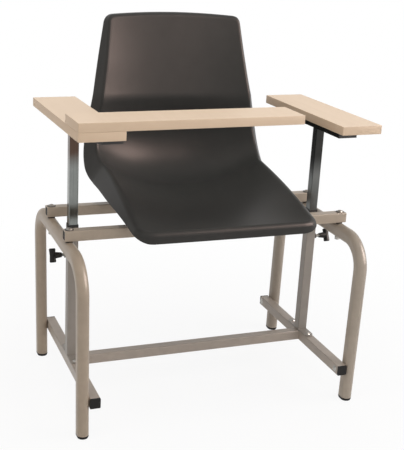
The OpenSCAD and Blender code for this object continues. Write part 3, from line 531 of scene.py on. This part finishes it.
pitch_r, low_r, high_r = np.radians([pan_pitch, low_back_lean, high_back_lean])
stretches = ((pan_run, 0.0), (hip_r * (low_r - pitch_r), 1 / hip_r), (low_back_run, 0.0),
             (crease_r * (low_r - high_r), -1 / crease_r), (high_back_run, 0.0))
middle_long = sum(length for length, _ in stretches)


def middle_line(s):
    """Side view of the shell's middle, s along it: straights and arcs joined in line. Gives y,
    z and the slope."""
    y, z = np.full_like(s, -seat_front), np.full_like(s, seat_height)
    slope, left = np.full_like(s, pitch_r), s.copy()
    for length, bend in stretches:
        d = np.clip(left, 0.0, length)
        left = left - d
        after = slope + bend * d
        if bend:
            y = y + (np.sin(after) - np.sin(slope)) / bend
            z = z + (np.cos(slope) - np.cos(after)) / bend
        else:
            y, z = y + d * np.cos(slope), z + d * np.sin(slope)
        slope = after
    return y, z, slope


def corner_cut(radius, run):
    """How much a round corner takes off the half width, run away from the end."""
    e = np.clip(1 - run / radius, 0.0, 1.0)
    return radius * (1 - np.sqrt(1 - e * e))


def shell_surface(across, s):
    """Upper face: across from -1 to 1 and s along the middle line. The face rises along the
    middle line's normal by dish depth times its share times |x over half width| to a power. Its
    top edge is arched by top_crown times u to the crown power times (1 - across squared).
    Also gives the normal, and the dish's own slope at the shell's side."""
    y, z, slope = middle_line(s)
    u = s / middle_long
    wide = seat_half * share_at(half_shares, u)
    half = wide - corner_cut(front_corner, s) - corner_cut(back_corner, middle_long - s)
    x = half * across
    rise = dish_depth * share_at(dish_shares, u) * (np.abs(x) / wide) ** dish_power
    arch = top_crown * u ** crown_power * (1 - across ** 2)
    y, z = y + arch * np.cos(slope), z + arch * np.sin(slope)
    normal = np.stack([0 * slope, -np.sin(slope), np.cos(slope)], -1)
    lean = dish_power * dish_depth * share_at(dish_shares, u) / wide
    return np.stack([x, y, z], -1) + rise[..., None] * normal, normal, lean


# The rows stand closer together towards the front and the top, where the corners are round.
count = np.arange(shell_rows + 1) / shell_rows
rows = middle_long * (count - row_crowding * np.sin(2 * np.pi * count) / (2 * np.pi))
s_grid, x_grid = np.meshgrid(rows, np.linspace(-1.0, 1.0, shell_cols + 1), indexing="ij")
upper, upper_normal, upper_lean = shell_surface(x_grid, s_grid)
lower = upper - wall * upper_normal

# The rim's loop runs along the front edge, up one side, along the top and down the other side.
# Its normal is tilted by a share of the dish's slope, and rim_out points away from the shell.
i_loop = np.concatenate([np.zeros(shell_cols, int), np.arange(shell_rows),
                         np.full(shell_cols, shell_rows), np.arange(shell_rows, 0, -1)])
j_loop = np.concatenate([np.arange(shell_cols), np.full(shell_rows, shell_cols),
                         np.arange(shell_cols, 0, -1), np.zeros(shell_rows, int)])
rim, rim_normal = upper[i_loop, j_loop], upper_normal[i_loop, j_loop]
rim_side = np.where(j_loop == 0, -1, np.where(j_loop == shell_cols, 1, 0))
tilt = rim_tilt_share * np.arctan(upper_lean[i_loop, j_loop])
across_x = np.array([1.0, 0.0, 0.0])
rim_normal = (np.cos(tilt)[:, None] * rim_normal
              - (rim_side * np.sin(tilt))[:, None] * across_x)
rim_out = np.cross(np.roll(rim, -1, 0) - np.roll(rim, 1, 0), rim_normal)
rim_out /= np.linalg.norm(rim_out, axis=1)[:, None]
sideways = rim_out[:, 0] ** 2
u_loop = rows[i_loop] / middle_long
side_bend = side_rim_r * share_at(rim_shares, u_loop)
rim_bend = (side_bend * sideways + rim_r * (1 - sideways))[:, None]
front_half = u_loop < 0.5
end_roll = np.where(front_half, front_roll, back_roll)
end_share = np.where(front_half, front_edge_share, back_edge_share)
rim_roll = np.radians(side_roll * sideways + end_roll * (1 - sideways))
rim_run = edge_depth * (share_at(edge_shares, u_loop) * sideways + end_share * (1 - sideways))


def rim_rings(turned, run, extra, depth):
    """Rings round the rim: each turned part of the way round the roll, run part of the way down
    the edge plus extra, and sunk by depth below the outer face. A point is the roll's centre
    plus its radius less depth along the turned normal, then straight on down the edge."""
    angle = turned[:, None] * rim_roll
    face = np.sin(angle)[..., None] * rim_out + np.cos(angle)[..., None] * rim_normal
    fall = np.cos(angle)[..., None] * rim_out - np.sin(angle)[..., None] * rim_normal
    down = (run[:, None] * rim_run + extra[:, None])[..., None]
    return rim - rim_bend * rim_normal + (rim_bend - depth[:, None, None]) * face + down * fall


roll_part = np.arange(1, roll_steps + 1) / roll_steps
run_part = np.arange(1, down_steps + 1) / down_steps
lip = np.linspace(0.0, np.pi / 2, lip_steps + 1)
lip_in, lip_up = lip_round * (1 - np.cos(lip)), lip_round * (np.sin(lip) - 1)
flat_run = np.ones_like(run_part)
# Outer face round the roll and down the edge, then the rounded lip, then the inner face back up.
outer_rings = rim_rings(np.concatenate([roll_part, flat_run]),
                        np.concatenate([0 * roll_part, run_part]),
                        np.concatenate([0 * roll_part, -lip_round * run_part]),
                        np.zeros(roll_steps + down_steps))
lip_rings = rim_rings(np.ones(2 * lip_steps + 1), np.ones(2 * lip_steps + 1),
                      np.concatenate([lip_up[1:], lip_up[::-1]]),
                      np.concatenate([lip_in[1:], wall - lip_in[::-1]]))
inner_rings = rim_rings(np.concatenate([flat_run, roll_part[::-1]])[1:],
                        np.concatenate([run_part[::-1], 0 * roll_part])[1:],
                        np.concatenate([-lip_round * run_part[::-1], 0 * roll_part])[1:],
                        np.full(roll_steps + down_steps - 1, wall))
rings = np.concatenate([outer_rings, lip_rings, inner_rings])

# The points are the upper face, the rings and the lower face, in that order. The ladder holds the
# point numbers of the rim's rings, from the upper face's edge to the lower face's.
grid_count, loop_count = upper[..., 0].size, len(i_loop)
ring_points = rings.shape[0] * loop_count
i, j = np.meshgrid(np.arange(shell_rows), np.arange(shell_cols), indexing="ij")
corner = i * (shell_cols + 1) + j
below = corner + grid_count + ring_points
top_faces = np.stack([corner, corner + 1, corner + shell_cols + 2, corner + shell_cols + 1], -1)
under_faces = np.stack([below, below + shell_cols + 1, below + shell_cols + 2, below + 1], -1)
edge_index = i_loop * (shell_cols + 1) + j_loop
ladder = np.concatenate([[edge_index],
                         grid_count + np.arange(ring_points).reshape(-1, loop_count),
                         [edge_index + grid_count + ring_points]])
ahead_one = np.roll(ladder, -1, 1)
rim_faces = np.stack([ladder[:-1], ladder[1:], ahead_one[1:], ahead_one[:-1]], -1)
shell_points = np.concatenate([upper.reshape(-1, 3), rings.reshape(-1, 3), lower.reshape(-1, 3)])
shell_points[:, 1] -= row_middle
shell = put_mesh("moulded_shell", shell_points, np.concatenate(
    [part.reshape(-1, 4) for part in (top_faces, under_faces, rim_faces)]).tolist())

grained = Skin("grained_shell_plastic")
creases = grained.add("ShaderNodeTexVoronoi", {"feature": "DISTANCE_TO_EDGE"},
                      {"Vector": grained.spot, "Scale": 620.0})
pores = grained.noise(2300.0, 2.0)
grain = grained.step(creases, 0.0, 0.25) * 0.75 + 0.25 * pores
patches = 0.5 * grained.noise(5.0) + 0.5 * grained.noise(30.0, 4.0)
shell_base = grained.blend(patches, linear(0.194, 0.196, 0.192), linear(0.244, 0.244, 0.238))
shell.data.materials.append(grained.finish(
    Base_Color=shell_base, Roughness=0.31 + 0.12 * patches + 0.05 * grain,
    Specular_IOR_Level=0.14, Specular_Tint=(1.0, 0.84, 0.79, 1.0),
    Normal=grained.bump(grain, 0.00012, 0.35)))
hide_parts("seat_shell")
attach(shell, "chair")


# Seat fixing: four plastic spacers on the rails, cut to the pan's slope, with brass inserts and
# domed screws up through the rails.
wear(moulded_black("spacer_plastic", (0.2, 0.19, 0.18), 0.5), "seat_spacers")
wear(brass, "seat_inserts")
wear(zinc, "seat_screws")
